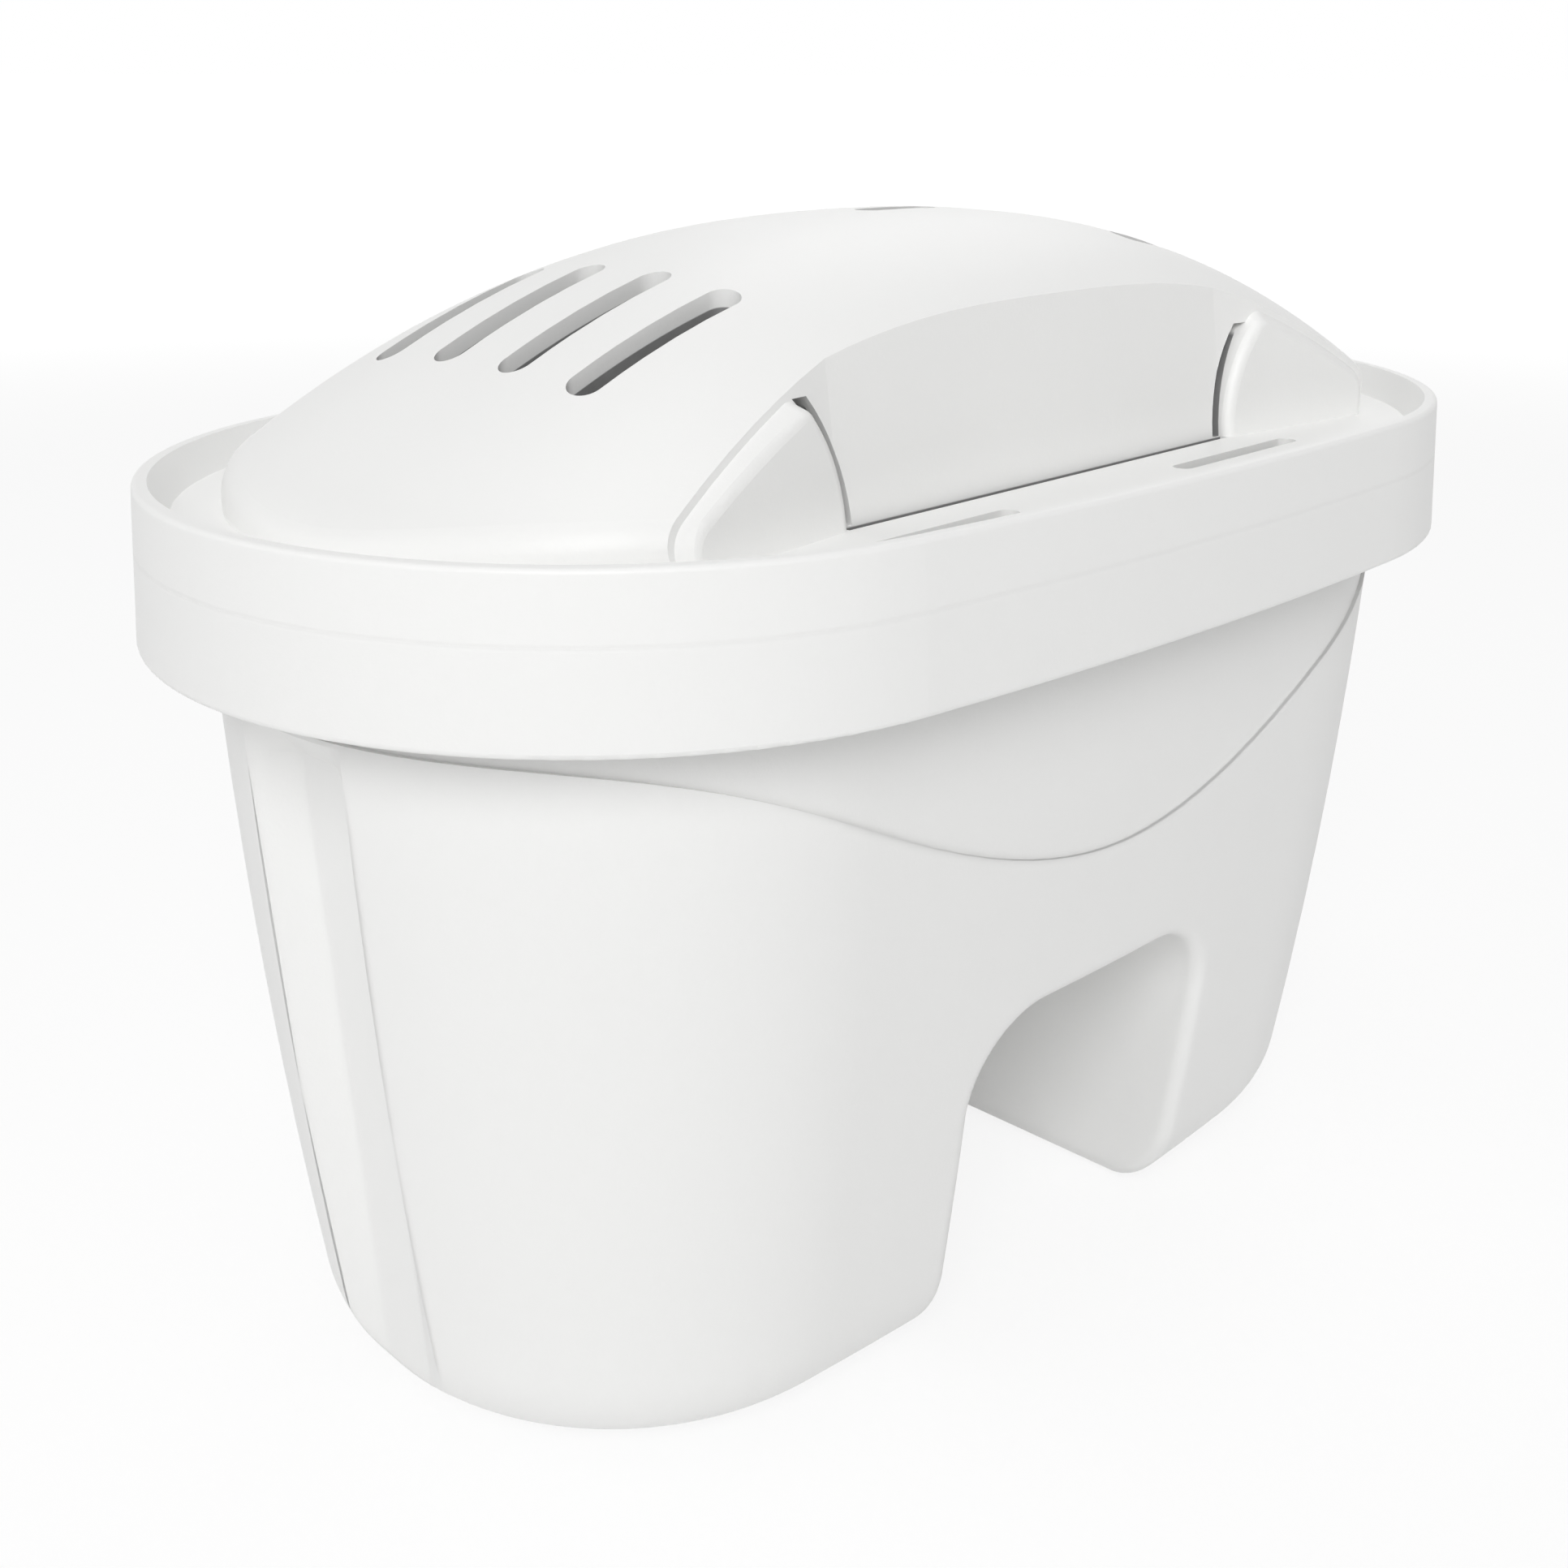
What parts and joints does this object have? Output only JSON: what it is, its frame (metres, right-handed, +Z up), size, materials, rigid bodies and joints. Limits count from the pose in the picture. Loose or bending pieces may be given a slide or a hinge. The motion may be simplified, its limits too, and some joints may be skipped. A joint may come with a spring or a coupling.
{
  "type": "water pitcher filter cartridge",
  "caption": "Drop-in water pitcher filter cartridge with an oval collar, a slotted domed cover with finger recesses, and a tapered cup whose feet stand either side of a tunnel.",
  "frame": {"origin": "middle of the collar's footprint, on the surface that the feet stand on", "axes": "+X along the cartridge, away from the grooved end; +Y across it; +Z up"},
  "size_m": [0.1116, 0.0658, 0.0795],
  "materials": {
    "cup_plastic": "satin white moulding",
    "lid_plastic": "satin white moulding",
    "screen_fabric": "fine woven screen",
    "granules": "black and amber granules"
  },
  "bodies": {
    "root": {"cup": "cup_plastic", "lid": "lid_plastic", "inlet_screen": "screen_fabric", "outlet_screen_left": "screen_fabric", "outlet_screen_right": "screen_fabric", "granule_bed": "granules"}
  },
  "joints": []
}
